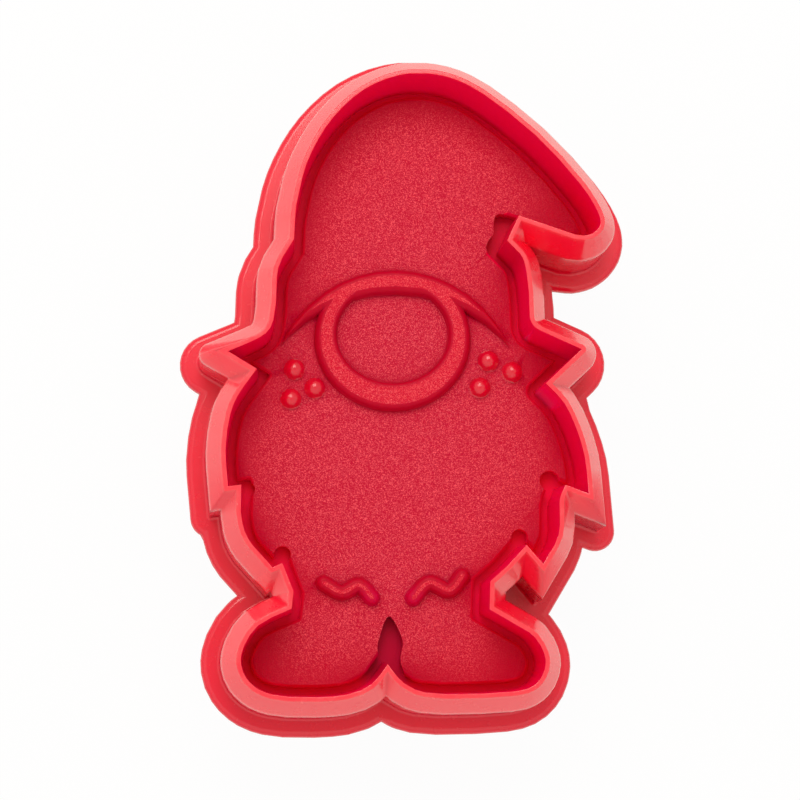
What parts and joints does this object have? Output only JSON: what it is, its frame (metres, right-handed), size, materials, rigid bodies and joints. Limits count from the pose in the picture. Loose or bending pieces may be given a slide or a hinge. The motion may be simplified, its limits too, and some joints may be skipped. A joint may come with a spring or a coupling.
{
  "type": "embossing cookie cutter",
  "caption": "Gnome-shaped cookie cutter with a bevelled cutting wall on a flange and a sprung embossing stamp that a round knob on the back pushes out.",
  "frame": {"origin": "on the surface that the knob stands on, under the middle of the flange's box", "axes": "+Z from the knob to the cutting edge, +Y from the feet to the hat, +X to the hat tip's side"},
  "size_m": [0.0532, 0.0814, 0.0306],
  "materials": {
    "body_plastic": "glossy red injection moulding",
    "stamp_plastic": "red moulding with a fine spark-eroded texture",
    "knob_plastic": "glossy red injection moulding",
    "screw_steel": "plain stainless steel",
    "spring_steel": "drawn stainless spring wire"
  },
  "bodies": {
    "cutter": {"cutter_body": "body_plastic", "return_spring": "spring_steel"},
    "plunger": {"stamp_plate": "stamp_plastic", "press_knob": "knob_plastic", "knob_screw": "screw_steel", "knob_cap": "knob_plastic"}
  },
  "joints": [
    {"name": "stamp_press", "type": "slide", "parent": "cutter", "child": "plunger", "axis": [0, 0, 1], "range_m": [0, 0.006], "stiffness_N_per_m": 480, "springref_m": -0.006, "deforming": ["return_spring"]}
  ]
}
